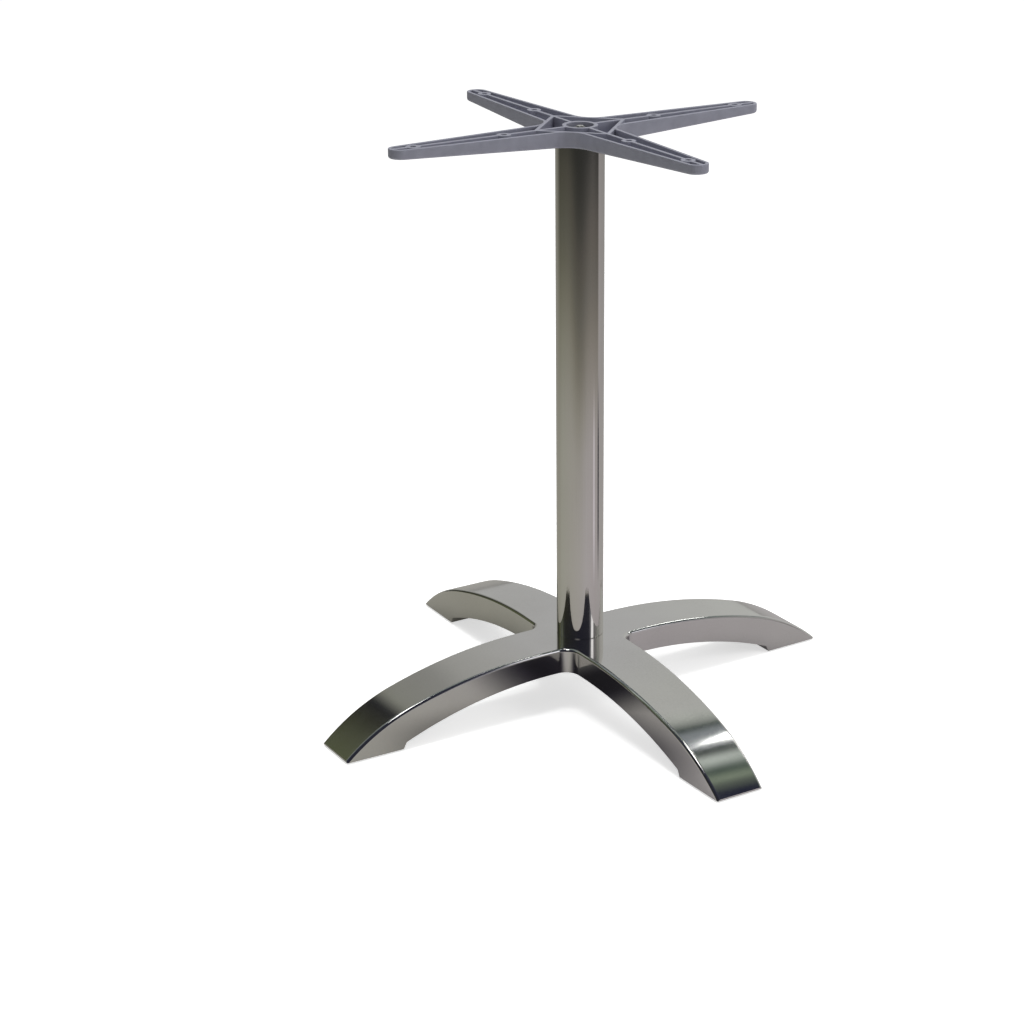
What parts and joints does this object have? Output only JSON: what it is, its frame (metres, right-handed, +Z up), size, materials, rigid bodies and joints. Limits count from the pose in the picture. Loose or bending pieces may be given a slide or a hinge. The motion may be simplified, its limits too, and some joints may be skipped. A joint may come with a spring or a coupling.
{
  "type": "table base",
  "caption": "Pedestal table base with an arched cast star foot, a round tube column, a cast top spider with screw holes for a table top, and screw-in levelling glides.",
  "frame": {"origin": "on the floor, on the column axis", "axes": "+Z up the column; the legs and spider arms lie along X and Y"},
  "size_m": [0.69, 0.69, 0.72],
  "materials": {
    "polished_aluminium": "mirror-polished casting",
    "polished_tube": "mirror-polished tube",
    "cast_aluminium": "satin, as cast and tumbled",
    "zinc_steel": "zinc plated",
    "black_plastic": "moulded, matt"
  },
  "bodies": {
    "frame": {"base_casting": "polished_aluminium", "column_tube": "polished_tube", "top_spider": "cast_aluminium", "tie_rod": "zinc_steel", "bottom_washer": "zinc_steel", "bottom_spring_washer": "zinc_steel", "bottom_nut": "zinc_steel", "top_washer": "zinc_steel", "top_spring_washer": "zinc_steel", "top_nut": "zinc_steel"},
    "glide_1": {"glide_stud_1": "zinc_steel", "glide_pad_1": "black_plastic"},
    "glide_2": {"glide_stud_2": "zinc_steel", "glide_pad_2": "black_plastic"},
    "glide_3": {"glide_stud_3": "zinc_steel", "glide_pad_3": "black_plastic"},
    "glide_4": {"glide_stud_4": "zinc_steel", "glide_pad_4": "black_plastic"}
  },
  "joints": [
    {"name": "glide_1_height", "type": "slide", "parent": "frame", "child": "glide_1", "axis": [0, 0, -1], "range_m": [0, 0.01]},
    {"name": "glide_2_height", "type": "slide", "parent": "frame", "child": "glide_2", "axis": [0, 0, -1], "range_m": [0, 0.01]},
    {"name": "glide_3_height", "type": "slide", "parent": "frame", "child": "glide_3", "axis": [0, 0, -1], "range_m": [0, 0.01]},
    {"name": "glide_4_height", "type": "slide", "parent": "frame", "child": "glide_4", "axis": [0, 0, -1], "range_m": [0, 0.01]}
  ]
}
